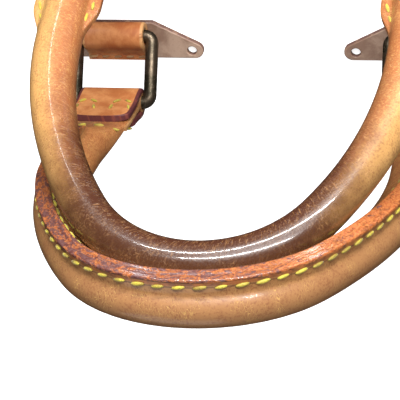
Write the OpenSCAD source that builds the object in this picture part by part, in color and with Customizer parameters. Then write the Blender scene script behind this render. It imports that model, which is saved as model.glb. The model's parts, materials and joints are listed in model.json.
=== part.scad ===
// A pair of rolled leather carry handles: each hangs from two rectangular rings,
// and each ring turns in a strap loop that is sewn to its own flat base patch.
// Millimetres. Z is up, X runs along the handles, and -Y is the front.
// The origin lies level with the underside of the base patches, under the middle of the whole.

/* [Handle] */
// Height of a handle, from its ring bar to the middle of its arch
handle_h = 141; // [125:1:170]
// Radius of the arch's crown, along the middle of the roll
crown_r = 39.5; // [32:0.5:44]
// Half of the angle that the crown takes up
crown_half_angle = 55.5; // [45:0.5:65]
// Radius of the gentle curve between the crown and a leg
side_r = 117; // [90:1:140]
// Thickness of the roll at the crown
roll_d = 12.3; // [11:0.1:14]
// How much thicker the roll is at its legs
leg_growth = 1.8; // [0:0.1:2.4]
// Thickness of the core rod inside the roll
core_d = 10; // [8:0.5:10]
// Reach of the sewn seam ridge from the middle of the roll
ridge_reach = 10.9; // [9:0.1:12]
// Thickness of the seam ridge
ridge_t = 4.8; // [3:0.1:6]

/* [Tab] */
// Width of the tab that folds round a ring
tab_w = 21; // [16:0.5:21]
// Thickness of the two plies of a tab together
tab_t = 4.8; // [3:0.1:6]
// Height above the ring bar at which the roll starts
roll_start = 26; // [22:1:32]
// Height over which the front handle's tabs keep their full width
front_tab_full = 42; // [28:1:48]
// Height over which the rear handle's tabs keep their full width
rear_tab_full = 14; // [10:1:40]
// Height that a tab needs beyond that to narrow to the roll
tab_taper = 18; // [10:1:24]

/* [Ring] */
// Thickness of the ring's round bar
ring_bar_d = 4.4; // [3:0.1:4.4]
// Width of the ring between the middles of its side bars
ring_w = 26; // [26:0.5:30]
// Distance between the middles of the bar in the strap and the bar in the tab
ring_h = 22.6; // [20:0.2:30]
// Bend radius of the ring's corners, along the middle of the bar
ring_corner_r = 2.5; // [2.3:0.1:2.5]

/* [Base] */
// Length of a base patch, from tip to tip
base_l = 58; // [56:1:80]
// Thickness of a base patch
base_t = 2.2; // [1.5:0.1:2.4]
// Width of the strap loop
strap_w = 21; // [16:0.5:21]
// Radius of the hole near each tip
hole_r = 1.6; // [1:0.1:2]
// Distance between the two holes of a base patch
hole_pitch = 50; // [46:1:52]

/* [Rest position] */
// Distance of the front row of strap loops from the middle
front_row_y = 11.53; // [11:0.01:45]
// Distance of the rear row of strap loops from the middle
rear_row_y = 16.34; // [15:0.01:45]
// Tilt of the front rings above level
front_ring_tilt = 6.1; // [0:0.1:40]
// Tilt of the rear rings above level
rear_ring_tilt = 38.63; // [0:0.01:45]
// Lean of the front handle towards the middle
front_lean = 15.7; // [0:0.1:16]
// Lean of the rear handle towards the middle
rear_lean = 11.1; // [0:0.1:12]
// Twist of the front handle's ridge towards the outside of its arch
front_ridge_twist = -8; // [-20:1:0]
// Twist of the rear handle's ridge towards the outside of its arch
rear_ridge_twist = 17; // [0:1:20]

/* [Hidden] */
$fn = 72;

// The outline of the arch, in the handle's own plane: the bar lies at y = 0.
crown_centre_y = handle_h - crown_r;
side_centre_x = -(side_r - crown_r) * sin(crown_half_angle);
side_centre_y = crown_centre_y - (side_r - crown_r) * cos(crown_half_angle);
leg_x = side_centre_x + side_r;

// Seams and thread
roll_r = roll_d / 2;
leg_r = roll_r + leg_growth / 2;
ridge_step = 0.2;
core_step = 0.15;
seam_drop = 2.1;                   // distance of the seam's stitches below the ridge's edge
thread_w = 0.8;
thread_t = 0.35;
crown_thread_trim = 2;             // degrees by which the thread ends short of the next stretch
side_thread_trim = 0.6;
core_end = roll_start + 2;

// Fits round the ring's bars
bar_r = ring_bar_d / 2;
bar_gap = 0.35;
liner_t = 0.7;
liner_bore_r = bar_r + bar_gap;
liner_r = liner_bore_r + liner_t;
liner_tongue_t = 1;
eye_r = 4.9;
eye_blend = 9;                     // height at which a tab's eye has drawn in to its two plies
leg_space_h = 80;                  // more than the height of any tab
tab_stitch_inset = 1.9;
tab_stitch_low = 10;
tab_stitch_high = 23;

// Strap loop and base patch, measured outwards from the loop's axis
strap_r = 4.8;
axis_z = base_t + strap_r;
strap_tail = 9.5;
strap_tail_flat = 5.6;
strap_tail_top = 6.6;
strap_stitch_y = 8;
base_inner = -2.5;
base_outer = 11.5;
base_tip_r = 3;
base_shoulder = strap_w / 2 + 1.5;

leather = "peru";
worn_leather = "sienna";
thread_colour = "darkkhaki";
brass = "darkslategray";

// ---- outlines ----

// Cross-section of the rolled leather: a round roll with its seam ridge.
// stretch is 0 on the crown, 1 on a side curve and 2 on a leg, each a little thicker.
module roll_profile(stretch, twist) {
    ridge_width = ridge_t + stretch * ridge_step;
    circle(roll_r + stretch * leg_growth / 4);
    rotate(-twist) translate([-ridge_width / 2, 0]) square([ridge_width, ridge_reach + stretch * ridge_step]);
}

// Cross-section of the two lines of thread, one on each side of the ridge.
module thread_profile(stretch, twist) {
    rotate(-twist)
        for (side = [-1, 1])
            translate([side * (ridge_t + stretch * ridge_step + thread_t) / 2, ridge_reach - seam_drop])
                square([thread_t, thread_w], center = true);
}

// Outline of a tab, from the ring's bar up to where it has narrowed to the roll.
module tab_outline(full) {
    polygon([
        [-tab_w / 2, 0], [tab_w / 2, 0], [tab_w / 2, full],
        [leg_r + 0.1, full + tab_taper], [-leg_r - 0.1, full + tab_taper], [-tab_w / 2, full]
    ]);
}

// ---- handle pieces, built flat: X across, Y up the handle, Z to the ridge's side ----

// trim is how far, in degrees, each end stops short.
module crown(trim = 0) {
    translate([0, crown_centre_y, 0]) rotate([0, 0, 90 - crown_half_angle + trim])
        rotate_extrude(angle = 2 * (crown_half_angle - trim)) translate([crown_r, 0]) children();
}

// lap is how far, in degrees, the side curve reaches into the crown, and trim is how far
// it stops short of the leg.
module side_curve(lap = 0.6, trim = 0) {
    translate([side_centre_x, side_centre_y, 0]) rotate([0, 0, trim])
        rotate_extrude(angle = 90 - crown_half_angle + lap - trim)
            translate([side_r, 0]) children();
}

// lap is how far, in millimetres, the leg reaches into the side curve.
module leg(low, lap = 1) {
    translate([leg_x, side_centre_y + lap, 0]) rotate([90, 0, 0])
        linear_extrude(side_centre_y + lap - low) children();
}

module both_sides() {
    children();
    mirror([1, 0, 0]) children();
}

module core_shape(low) {
    crown() circle(core_d / 2);
    both_sides() {
        side_curve() circle(core_d / 2 + core_step);
        leg(low) circle(core_d / 2 + 2 * core_step);
    }
}

module roll_shape(twist) {
    difference() {
        union() {
            crown() roll_profile(0, twist);
            both_sides() {
                side_curve() roll_profile(1, twist);
                leg(roll_start) roll_profile(2, twist);
            }
        }
        core_shape(core_end);
    }
}

module seam_thread_shape(twist) {
    crown(crown_thread_trim) thread_profile(0, twist);
    both_sides() {
        side_curve(0, side_thread_trim) thread_profile(1, twist);
        leg(roll_start + 4, 0) thread_profile(2, twist);
    }
}

module liner_shape() {
    difference() {
        union() {
            rotate([0, 90, 0]) cylinder(r = liner_r, h = tab_w, center = true);
            translate([0, roll_start / 2 - 1, 0]) cube([tab_w, roll_start - 2, liner_tongue_t], center = true);
        }
        rotate([0, 90, 0]) cylinder(r = liner_bore_r, h = tab_w + 2, center = true);
    }
}

module liner_space() {
    rotate([0, 90, 0]) cylinder(r = liner_r, h = tab_w + 2, center = true);
    translate([0, roll_start / 2 - 1, 0]) cube([tab_w + 2, roll_start - 2, liner_tongue_t], center = true);
}

// The roll's leg and ridge, as the space that a tab leaves for them.
module leg_space(twist) {
    ridge_space = ridge_t + 2 * ridge_step + 2 * thread_t;
    translate([0, roll_start, 0]) rotate([-90, 0, 0]) cylinder(r = leg_r, h = leg_space_h);
    translate([0, roll_start, 0]) rotate([0, -twist, 0])
        translate([-ridge_space / 2, 0, 0])
            cube([ridge_space, leg_space_h, ridge_reach + 2 * ridge_step]);
}

module tab_shape(full, twist) {
    difference() {
        union() {
            rotate([0, 90, 0]) cylinder(r = eye_r, h = tab_w, center = true);
            rotate([90, 0, 90]) linear_extrude(tab_w, center = true)
                polygon([[0, eye_r], [0, -eye_r], [eye_blend, -tab_t / 2], [eye_blend, tab_t / 2]]);
            linear_extrude(tab_t, center = true) tab_outline(full);
        }
        liner_space();
        leg_space(twist);
    }
}

// A row of stitches round the tab's flap, on both faces.
module tab_thread_shape() {
    stitch_w = tab_w - 2 * tab_stitch_inset;
    stitch_h = tab_stitch_high - tab_stitch_low;
    for (side = [-1, 1])
        translate([0, (tab_stitch_low + tab_stitch_high) / 2, side * (tab_t + thread_t) / 2])
            linear_extrude(thread_t, center = true) difference() {
                square([stitch_w, stitch_h], center = true);
                square([stitch_w - 2 * thread_w, stitch_h - 2 * thread_w], center = true);
            }
}

// ---- ring, built level with its strap bar on the X axis and its tab bar at +Y ----

module ring_shape() {
    straight_w = ring_w - 2 * ring_corner_r;
    straight_h = ring_h - 2 * ring_corner_r;
    for (y = [0, ring_h])
        translate([0, y, 0]) rotate([0, 90, 0]) cylinder(r = bar_r, h = straight_w, center = true);
    for (side = [-1, 1]) {
        translate([side * ring_w / 2, ring_h / 2, 0]) rotate([90, 0, 0])
            cylinder(r = bar_r, h = straight_h, center = true);
        for (end = [-1, 1])
            translate([side * straight_w / 2, ring_h / 2 + end * straight_h / 2, 0])
                rotate([0, 0, side > 0 ? (end > 0 ? 0 : 270) : (end > 0 ? 90 : 180)])
                    rotate_extrude(angle = 90) translate([ring_corner_r, 0]) circle(bar_r);
    }
}

// ---- base pieces, built with the loop's axis over the X axis and +Y outwards ----

module base_shape() {
    tip_x = base_l / 2 - base_tip_r;
    tip_y = base_outer - base_tip_r;
    difference() {
        linear_extrude(base_t) {
            polygon([
                [-base_shoulder, base_inner], [base_shoulder, base_inner],
                [tip_x + base_tip_r * sin(25), tip_y - base_tip_r * cos(25)], [tip_x, base_outer],
                [-tip_x, base_outer], [-tip_x - base_tip_r * sin(25), tip_y - base_tip_r * cos(25)]
            ]);
            for (side = [-1, 1]) translate([side * tip_x, tip_y]) circle(base_tip_r);
        }
        for (side = [-1, 1])
            translate([side * hole_pitch / 2, tip_y, -1]) cylinder(r = hole_r, h = base_t + 2);
    }
}

module strap_shape() {
    difference() {
        union() {
            translate([0, 0, axis_z]) rotate([0, 90, 0]) cylinder(r = strap_r, h = strap_w, center = true);
            rotate([90, 0, 90]) linear_extrude(strap_w, center = true)
                polygon([
                    [0, base_t], [strap_tail, base_t], [strap_tail, strap_tail_top],
                    [strap_tail_flat, strap_tail_top],
                    [strap_r * sin(50), axis_z + strap_r * cos(50)], [0, axis_z]
                ]);
        }
        translate([0, 0, axis_z]) rotate([0, 90, 0]) cylinder(r = liner_bore_r, h = strap_w + 2, center = true);
    }
}

module strap_thread_shape() {
    translate([0, strap_stitch_y, strap_tail_top + thread_t / 2])
        cube([strap_w - 3, thread_w, thread_t], center = true);
}

// ---- places ----

// Turns what faces the rear into what faces the front.
module on_front() {
    rotate([0, 0, 180]) children();
}

module at_bar(row_y, ring_tilt, lean) {
    translate([0, row_y + ring_h * cos(ring_tilt), axis_z + ring_h * sin(ring_tilt)])
        rotate([90 + lean, 0, 0]) children();
}

module front_handle() {
    on_front() at_bar(front_row_y, front_ring_tilt, front_lean) children();
}

module rear_handle() {
    at_bar(rear_row_y, rear_ring_tilt, rear_lean) children();
}

// side is -1 for the left, towards -X, and 1 for the right. The front handle is turned round.
module front_leg(side) {
    front_handle() translate([-side * leg_x, 0, 0]) children();
}

module rear_leg(side) {
    rear_handle() translate([side * leg_x, 0, 0]) children();
}

module front_row(side) {
    on_front() translate([-side * leg_x, front_row_y, 0]) children();
}

module rear_row(side) {
    translate([side * leg_x, rear_row_y, 0]) children();
}

module ring_at(tilt) {
    translate([0, 0, axis_z]) rotate([tilt, 0, 0]) ring_shape();
}

// ---- sub-parts ----

module front_roll() { color(leather) front_handle() roll_shape(front_ridge_twist); }
module front_core() { color("tan") front_handle() core_shape(core_end); }
module front_seam_thread() { color(thread_colour) front_handle() seam_thread_shape(front_ridge_twist); }
module front_tab(side) {
    color(worn_leather) front_leg(side) tab_shape(front_tab_full, front_ridge_twist * -side);
}
module front_liner(side) { color("burlywood") front_leg(side) liner_shape(); }
module front_tab_thread(side) { color(thread_colour) front_leg(side) tab_thread_shape(); }

module rear_roll() { color(leather) rear_handle() roll_shape(rear_ridge_twist); }
module rear_core() { color("tan") rear_handle() core_shape(core_end); }
module rear_seam_thread() { color(thread_colour) rear_handle() seam_thread_shape(rear_ridge_twist); }
module rear_tab(side) {
    color(worn_leather) rear_leg(side) tab_shape(rear_tab_full, rear_ridge_twist * side);
}
module rear_liner(side) { color("burlywood") rear_leg(side) liner_shape(); }
module rear_tab_thread(side) { color(thread_colour) rear_leg(side) tab_thread_shape(); }

module front_ring(side) { color(brass) front_row(side) ring_at(front_ring_tilt); }
module rear_ring(side) { color(brass) rear_row(side) ring_at(rear_ring_tilt); }

module front_base(side) { color(leather) front_row(side) base_shape(); }
module rear_base(side) { color(leather) rear_row(side) base_shape(); }
module front_strap(side) { color(worn_leather) front_row(side) strap_shape(); }
module rear_strap(side) { color(worn_leather) rear_row(side) strap_shape(); }
module front_strap_thread(side) { color(thread_colour) front_row(side) strap_thread_shape(); }
module rear_strap_thread(side) { color(thread_colour) rear_row(side) strap_thread_shape(); }

front_roll();
front_core();
front_seam_thread();
front_tab(-1);  // front_left_tab
front_tab(1);  // front_right_tab
front_liner(-1);  // front_left_liner
front_liner(1);  // front_right_liner
front_tab_thread(-1);  // front_left_tab_thread
front_tab_thread(1);  // front_right_tab_thread
rear_roll();
rear_core();
rear_seam_thread();
rear_tab(-1);  // rear_left_tab
rear_tab(1);  // rear_right_tab
rear_liner(-1);  // rear_left_liner
rear_liner(1);  // rear_right_liner
rear_tab_thread(-1);  // rear_left_tab_thread
rear_tab_thread(1);  // rear_right_tab_thread
front_ring(-1);  // front_left_ring
front_ring(1);  // front_right_ring
rear_ring(-1);  // rear_left_ring
rear_ring(1);  // rear_right_ring
front_base(-1);  // front_left_base
front_base(1);  // front_right_base
rear_base(-1);  // rear_left_base
rear_base(1);  // rear_right_base
front_strap(-1);  // front_left_strap
front_strap(1);  // front_right_strap
rear_strap(-1);  // rear_left_strap
rear_strap(1);  // rear_right_strap
front_strap_thread(-1);  // front_left_strap_thread
front_strap_thread(1);  // front_right_strap_thread
rear_strap_thread(-1);  // rear_left_strap_thread
rear_strap_thread(1);  // rear_right_strap_thread
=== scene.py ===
"""Looks of a pair of rolled leather carry handles, with their rings, straps and base patches.

Metres throughout. Z is up, X runs along the handles and -Y is the front. The frame gives every
place: the bars that the handles hang on are the axes of the handles' own joints.
"""

from __future__ import annotations

import json
import logging
import math
from dataclasses import dataclass, field
from enum import Enum

import bpy
import numpy as np
from mathutils import Matrix, Vector

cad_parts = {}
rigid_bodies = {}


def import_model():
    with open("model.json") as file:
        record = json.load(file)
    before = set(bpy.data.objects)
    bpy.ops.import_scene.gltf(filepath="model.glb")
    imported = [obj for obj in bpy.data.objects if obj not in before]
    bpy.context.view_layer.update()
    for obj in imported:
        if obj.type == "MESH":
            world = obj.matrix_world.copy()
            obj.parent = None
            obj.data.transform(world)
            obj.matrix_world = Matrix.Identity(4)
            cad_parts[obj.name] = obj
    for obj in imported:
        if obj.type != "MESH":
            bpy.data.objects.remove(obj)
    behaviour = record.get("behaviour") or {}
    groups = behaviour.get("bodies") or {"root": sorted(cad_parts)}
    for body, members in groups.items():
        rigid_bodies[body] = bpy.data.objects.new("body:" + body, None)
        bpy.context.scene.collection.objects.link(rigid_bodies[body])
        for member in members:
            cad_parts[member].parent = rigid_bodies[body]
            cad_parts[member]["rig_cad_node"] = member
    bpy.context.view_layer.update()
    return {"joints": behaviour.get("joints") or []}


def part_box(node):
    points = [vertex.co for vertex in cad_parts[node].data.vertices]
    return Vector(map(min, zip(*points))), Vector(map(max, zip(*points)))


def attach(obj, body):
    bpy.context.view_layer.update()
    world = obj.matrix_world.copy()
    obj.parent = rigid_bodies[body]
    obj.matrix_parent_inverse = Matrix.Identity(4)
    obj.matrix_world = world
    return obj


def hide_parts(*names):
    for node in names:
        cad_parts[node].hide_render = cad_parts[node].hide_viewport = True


LOG = logging.getLogger("handles")
MM = 0.001
UV_NAME = "leather_uv"
CORE_RADIUS = 5 * MM                                     # of the cord inside a roll, in the frame


class Row(Enum):
    """Which of the two handles a piece belongs to."""

    FRONT = "front"
    REAR = "rear"


class Side(Enum):
    """Which end of a handle a piece belongs to, as seen from the front."""

    LEFT = "left"
    RIGHT = "right"

    @property
    def sign(self) -> int:
        """Gives the side's sign along X."""
        return -1 if self is Side.LEFT else 1


class Finish(Enum):
    """The record's material slots."""

    ROLL = "roll_leather"
    CORE = "core"
    THREAD = "thread"
    TAB = "tab_leather"
    LINER = "liner_leather"
    RING = "ring_metal"
    BASE = "base_leather"
    STRAP = "strap_leather"


Colour = tuple[float, float, float, float]


def shade(red: int, green: int, blue: int) -> Colour:
    """Turns a display colour into the linear colour that a shader takes.

    Args:
        red: Red, from 0 to 255.
        green: Green, from 0 to 255.
        blue: Blue, from 0 to 255.

    Returns:
        The linear colour with full alpha.
    """
    parts = [c / 255 for c in (red, green, blue)]
    linear = [c / 12.92 if c <= 0.04045 else ((c + 0.055) / 1.055) ** 2.4 for c in parts]
    return (linear[0], linear[1], linear[2], 1.0)


def ease(values: np.ndarray, low: float, high: float) -> np.ndarray:
    """Rises smoothly from 0 at low to 1 at high.

    Args:
        values: Where to read the curve.
        low: Where it leaves 0.
        high: Where it reaches 1.

    Returns:
        The curve's heights.
    """
    part = np.clip((values - low) / (high - low), 0, 1)
    return part * part * (3 - 2 * part)


# ---------------------------------------------------------------- materials


class Graph:
    """A procedural material under construction."""

    def __init__(self, name: str) -> None:
        """Starts an empty material with its shader.

        Args:
            name: The material's name.
        """
        self.material = bpy.data.materials.new(name)
        self.material.use_nodes = True
        self.nodes = self.material.node_tree.nodes
        self.links = self.material.node_tree.links
        self.shader = self.nodes["Principled BSDF"]

    def put(self, socket: bpy.types.NodeSocket, value: object) -> None:
        """Links a socket to another node's output, or sets it to a constant.

        Args:
            socket: The input to feed.
            value: An output socket or a constant.
        """
        if isinstance(value, bpy.types.NodeSocket):
            self.links.new(value, socket)
        else:
            socket.default_value = value

    def attribute(self, name: str) -> bpy.types.NodeSocket:
        """Reads a number that the mesh holds at each vertex.

        Args:
            name: The number's name.

        Returns:
            The number.
        """
        node = self.nodes.new("ShaderNodeAttribute")
        node.attribute_name = name
        return node.outputs["Fac"]

    def place(self, scale: tuple[float, float, float], uv: bool = True,
              turn: float = 0.0) -> bpy.types.NodeSocket:
        """Gives coordinates along and across the leather, or in the object's own space.

        Args:
            scale: Pattern sizes per metre along each coordinate.
            uv: True for the leather's own map, False for object space.
            turn: A turn of the pattern in its plane, in degrees.

        Returns:
            The scaled coordinates.
        """
        mapping = self.nodes.new("ShaderNodeMapping")
        mapping.inputs["Scale"].default_value = scale
        source = self.nodes.new("ShaderNodeUVMap" if uv else "ShaderNodeTexCoord")
        if uv:
            source.uv_map = UV_NAME
        output = source.outputs["UV" if uv else "Object"]
        if turn:
            turned = self.nodes.new("ShaderNodeMapping")
            turned.inputs["Rotation"].default_value = (0, 0, math.radians(turn))
            self.links.new(output, turned.inputs["Vector"])
            output = turned.outputs["Vector"]
        self.links.new(output, mapping.inputs["Vector"])
        return mapping.outputs["Vector"]

    def noise(self, where: object, detail: float = 3, rough: float = 0.55,
              warp: float = 0.0) -> bpy.types.NodeSocket:
        """Adds a cloudy pattern.

        Args:
            where: Its coordinates.
            detail: How many finer layers it has.
            rough: How strong the finer layers are.
            warp: How far it is distorted.

        Returns:
            Its value, from 0 to 1.
        """
        node = self.nodes.new("ShaderNodeTexNoise")
        self.put(node.inputs["Vector"], where)
        node.inputs["Scale"].default_value = 1
        node.inputs["Detail"].default_value = detail
        node.inputs["Roughness"].default_value = rough
        node.inputs["Distortion"].default_value = warp
        return node.outputs["Fac"]

    def cracks(self, where: object) -> bpy.types.NodeSocket:
        """Adds a net of cells, and gives the distance to their nearest border.

        Args:
            where: Its coordinates.

        Returns:
            The distance, 0 on a border.
        """
        node = self.nodes.new("ShaderNodeTexVoronoi")
        node.feature = "DISTANCE_TO_EDGE"
        node.inputs["Scale"].default_value = 1
        self.put(node.inputs["Vector"], where)
        return node.outputs["Distance"]

    def band(self, value: object, low: float, high: float, start: float = 0.0,
             end: float = 1.0) -> bpy.types.NodeSocket:
        """Maps a value smoothly, from low to high, onto start to end.

        Args:
            value: The value to map.
            low: Where the rise starts.
            high: Where it ends.
            start: The result at and before low.
            end: The result at and after high.

        Returns:
            The mapped value.
        """
        node = self.nodes.new("ShaderNodeMapRange")
        node.interpolation_type = "SMOOTHSTEP"
        self.put(node.inputs["Value"], value)
        names = ("From Min", "From Max", "To Min", "To Max")
        for name, number in zip(names, (low, high, start, end)):
            node.inputs[name].default_value = number
        return node.outputs["Result"]

    def math(self, operation: str, first: object, second: object = 0.0) -> bpy.types.NodeSocket:
        """Adds one arithmetic step.

        Args:
            operation: Blender's name for it.
            first: The first value.
            second: The second value.

        Returns:
            The result.
        """
        node = self.nodes.new("ShaderNodeMath")
        node.operation = operation
        self.put(node.inputs[0], first)
        self.put(node.inputs[1], second)
        return node.outputs[0]

    def mix(self, share: object, under: object, over: object) -> bpy.types.NodeSocket:
        """Lays one colour over another.

        Args:
            share: How much of the upper colour shows.
            under: The lower colour.
            over: The upper colour.

        Returns:
            The mixed colour.
        """
        node = self.nodes.new("ShaderNodeMix")
        node.data_type = "RGBA"
        self.put(node.inputs[0], share)
        self.put(node.inputs[6], under)
        self.put(node.inputs[7], over)
        return node.outputs[2]

    def bump(self, height: object, depth: float, under: object = None) -> bpy.types.NodeSocket:
        """Turns a height pattern into relief.

        Args:
            height: The pattern.
            depth: Its depth in metres.
            under: Relief that lies below it.

        Returns:
            The normal.
        """
        node = self.nodes.new("ShaderNodeBump")
        node.inputs["Distance"].default_value = depth
        self.put(node.inputs["Height"], height)
        if under is not None:
            self.put(node.inputs["Normal"], under)
        return node.outputs["Normal"]

    def finish(self, colour: object, rough: object, normal: object,
               **settings: float) -> bpy.types.Material:
        """Connects the shader.

        Args:
            colour: Base colour.
            rough: Roughness.
            normal: Relief.
            settings: Constants by socket name, with _ for a space.

        Returns:
            The finished material.
        """
        self.put(self.shader.inputs["Base Color"], colour)
        self.put(self.shader.inputs["Roughness"], rough)
        self.put(self.shader.inputs["Normal"], normal)
        for name, number in settings.items():
            self.shader.inputs[name.replace("_", " ")].default_value = number
        return self.material


@dataclass(frozen=True)
class Patina:
    """How a roll's leather has aged, with painted shade and painted light in its colour."""

    name: str
    honey: Colour
    orange: Colour
    dark: Colour
    shadow: Colour
    vein: Colour
    crown_reach: float          # half-length of the darkened grip, in metres along the roll
    crown_share: float          # how dark the grip has become, 0 to 1
    outer_shade: float        # how much painted shade darkens the outside of the arch towards grey-brown, 0 to 1
    speckle: float              # strength of the fine light and dark flecks

    def build(self) -> bpy.types.Material:
        """Builds the roll's leather with its worn seam edge.

        Returns:
            The material.
        """
        g = Graph(self.name)
        along = g.attribute("along")
        outward = g.attribute("outward")
        ridge = g.attribute("ridge")
        away = g.math("ABSOLUTE", along)
        cloud = g.noise(g.place((90, 90, 90)), 3, 0.6)
        patch = g.noise(g.place((240, 200, 200)), 4, 0.65, 0.4)
        fleck = g.noise(g.place((1500, 1300, 1000)), 3, 0.7, 0.3)
        hair = g.noise(g.place((2900, 330, 800), turn=24), 2, 0.55, 0.2)
        # Honey on the outside of the arch, orange-brown towards its inside: partly the leather's
        # own tone, partly painted light on the outside.
        lean = g.math("ADD", outward, g.math("MULTIPLY", g.math("SUBTRACT", patch, 0.5), 2.2))
        colour = g.mix(g.band(lean, -0.5, 0.6), self.orange, self.honey)
        tone = g.math("ADD", fleck, g.math("MULTIPLY", g.math("SUBTRACT", patch, 0.5), 0.5))
        colour = g.mix(g.band(tone, 0.46, 0.66, 0.0, self.speckle), colour, self.shadow)
        colour = g.mix(g.band(tone, 0.46, 0.32, 0.0, self.speckle), colour, self.honey)
        # Fine hair-like scratches across the roll, thickest on the inside of the arch.
        inner = g.band(outward, 0.5, -0.4, 0.25, 1.0)
        scratch = g.math("MULTIPLY", g.band(hair, 0.56, 0.66), inner)
        # Painted shade: the outside of the arch darkens towards grey-brown.
        outer_shade_mask = g.math("ADD", outward, g.math("MULTIPLY", g.math("SUBTRACT", cloud, 0.5), 0.7))
        colour = g.mix(g.band(outer_shade_mask, 0.25, 0.85, 0.0, self.outer_shade), colour, self.dark)
        # The grip darkens where hands have held it.
        wander = g.math("MULTIPLY", g.math("SUBTRACT", cloud, 0.5), 0.035)
        reach = g.math("ADD", g.math("ADD", away, wander), g.math("MULTIPLY", outward, 0.012))
        grip = g.band(reach, self.crown_reach * 1.5, self.crown_reach * 0.55, 0.0, self.crown_share)
        colour = g.mix(grip, colour, self.dark)
        colour = g.mix(g.math("MULTIPLY", scratch, 0.28), colour, self.vein)
        # Cracks that have opened to the paler leather below.
        net = g.cracks(g.place((1250, 520, 480)))
        zone = g.band(g.noise(g.place((150, 110, 120)), 2, 0.5), 0.44, 0.58)
        vein = g.math("MULTIPLY", g.band(net, 0.05, 0.012), zone)
        vein = g.math("MULTIPLY", vein, g.band(fleck, 0.40, 0.60))
        vein = g.math("MULTIPLY", vein, g.band(grip, 0.2, 0.9, 1.0, 0.35))
        colour = g.mix(g.math("MULTIPLY", vein, 0.9), colour, self.vein)
        # Burnished side of the ridge, and the cut edge with what is left of its paint.
        side = g.band(ridge, 8.9, 9.3)
        burnish = g.mix(g.band(patch, 0.42, 0.62), shade(112, 64, 44), shade(168, 98, 52))
        colour = g.mix(g.math("MULTIPLY", side, 0.85), colour, burnish)
        groove = g.math("MULTIPLY", g.band(ridge, 8.15, 8.5), g.band(ridge, 9.0, 8.75))
        colour = g.mix(g.math("MULTIPLY", groove, 0.55), colour, shade(70, 44, 32))
        edge = g.band(ridge, 10.0, 10.35)
        flake = g.noise(g.place((330, 700, 500)), 5, 0.70, 1.0)
        lost = g.math("ADD", flake, g.math("MULTIPLY", g.band(along, 0.012, -0.05), 0.15))
        lost = g.math("ADD", lost, g.math("MULTIPLY", g.band(away, 0.045, 0.09), 0.05))
        # The edge paint's lighter grey-purple flecks are partly its own worn tone and partly
        # painted glints.
        paint_and_glints = g.mix(g.band(fleck, 0.38, 0.66), shade(84, 40, 34), shade(112, 80, 78))
        bare = g.mix(g.band(fleck, 0.36, 0.64), shade(156, 78, 38), shade(192, 118, 62))
        colour = g.mix(edge, colour, g.mix(g.band(lost, 0.50, 0.56), paint_and_glints, bare))
        rough = g.band(grip, 0.0, 0.9, 0.46, 0.28)
        rough = g.math("ADD", rough, g.math("MULTIPLY", g.math("SUBTRACT", fleck, 0.5), 0.25))
        rough = g.math("ADD", rough, g.math("MULTIPLY", vein, 0.25))
        relief = g.bump(fleck, 0.00004)
        relief = g.bump(g.math("MULTIPLY", g.math("ADD", vein, scratch), -1.0), 0.00005, relief)
        relief = g.bump(g.math("MULTIPLY", g.band(lost, 0.61, 0.57), edge), 0.00018, relief)
        grain = g.math("MULTIPLY", fleck, g.band(grip, 0.3, 0.9, 1.0, 0.25))
        g.put(g.shader.inputs["Coat Normal"], g.bump(grain, 0.00003))
        return g.finish(colour, rough, relief, Coat_Weight=0.7, Coat_Roughness=0.07)


@dataclass(frozen=True)
class PlainLeather:
    """A flat piece of leather with finished edges."""

    name: str
    light: Colour
    deep: Colour
    edge: Colour
    edge_worn: Colour

    def build(self, mapped: bool = True) -> bpy.types.Material:
        """Builds the leather.

        Args:
            mapped: True where the piece has the leather's own map.

        Returns:
            The material.
        """
        g = Graph(self.name)
        patch = g.noise(g.place((160, 160, 160), mapped), 4, 0.6, 0.4)
        fleck = g.noise(g.place((1300, 1300, 1300), mapped), 3, 0.65, 0.4)
        streak = g.noise(g.place((220, 900, 500), mapped), 3, 0.6)
        rim = g.attribute("rim")
        colour = g.mix(g.band(patch, 0.36, 0.64), self.light, self.deep)
        colour = g.mix(g.band(fleck, 0.52, 0.70, 0.0, 0.35), colour, self.deep)
        colour = g.mix(g.band(streak, 0.55, 0.72, 0.0, 0.30), colour, self.light)
        worn = g.band(g.noise(g.place((420, 420, 420), mapped), 4, 0.7, 0.8), 0.52, 0.60)
        colour = g.mix(g.band(rim, 0.35, 0.60), colour, g.mix(worn, self.edge, self.edge_worn))
        rough = g.band(fleck, 0.3, 0.7, 0.38, 0.58)
        relief = g.bump(patch, 0.00012)
        relief = g.bump(fleck, 0.00004, relief)
        return g.finish(colour, rough, relief, Coat_Weight=0.05, Coat_Roughness=0.3)


def waxed_thread(name: str, clean: Colour, soiled: Colour) -> bpy.types.Material:
    """Builds a waxed thread.

    Args:
        name: The material's name.
        clean: Its colour where it is clean.
        soiled: Its colour where it is soiled.

    Returns:
        The material.
    """
    g = Graph(name)
    soil = g.noise(g.place((140, 140, 140), uv=False), 3, 0.6)
    fibre = g.noise(g.place((2600, 2600, 2600), uv=False), 3, 0.6)
    colour = g.mix(g.band(soil, 0.38, 0.66), clean, soiled)
    colour = g.mix(g.band(fibre, 0.5, 0.72, 0.0, 0.5), colour, shade(112, 92, 34))
    return g.finish(colour, 0.55, g.bump(fibre, 0.00012), Sheen_Weight=0.2)


def aged_brass() -> bpy.types.Material:
    """Builds the rings' dark metal.

    Returns:
        The material.
    """
    g = Graph("aged_brass")
    cloud = g.noise(g.place((150, 150, 150), uv=False), 4, 0.6, 0.5)
    speck = g.noise(g.place((1200, 1200, 1200), uv=False), 4, 0.7)
    brush = g.noise(g.place((500, 2600, 2600), uv=False), 2, 0.5)
    colour = g.mix(g.band(cloud, 0.38, 0.62), shade(112, 98, 82), shade(58, 54, 42))
    colour = g.mix(g.band(speck, 0.56, 0.68, 0.0, 0.7), colour, shade(150, 136, 112))
    rough = g.band(cloud, 0.3, 0.7, 0.30, 0.48)
    relief = g.bump(speck, 0.00004)
    relief = g.bump(brush, 0.00003, relief)
    return g.finish(colour, rough, relief, Metallic=0.85)


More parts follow.
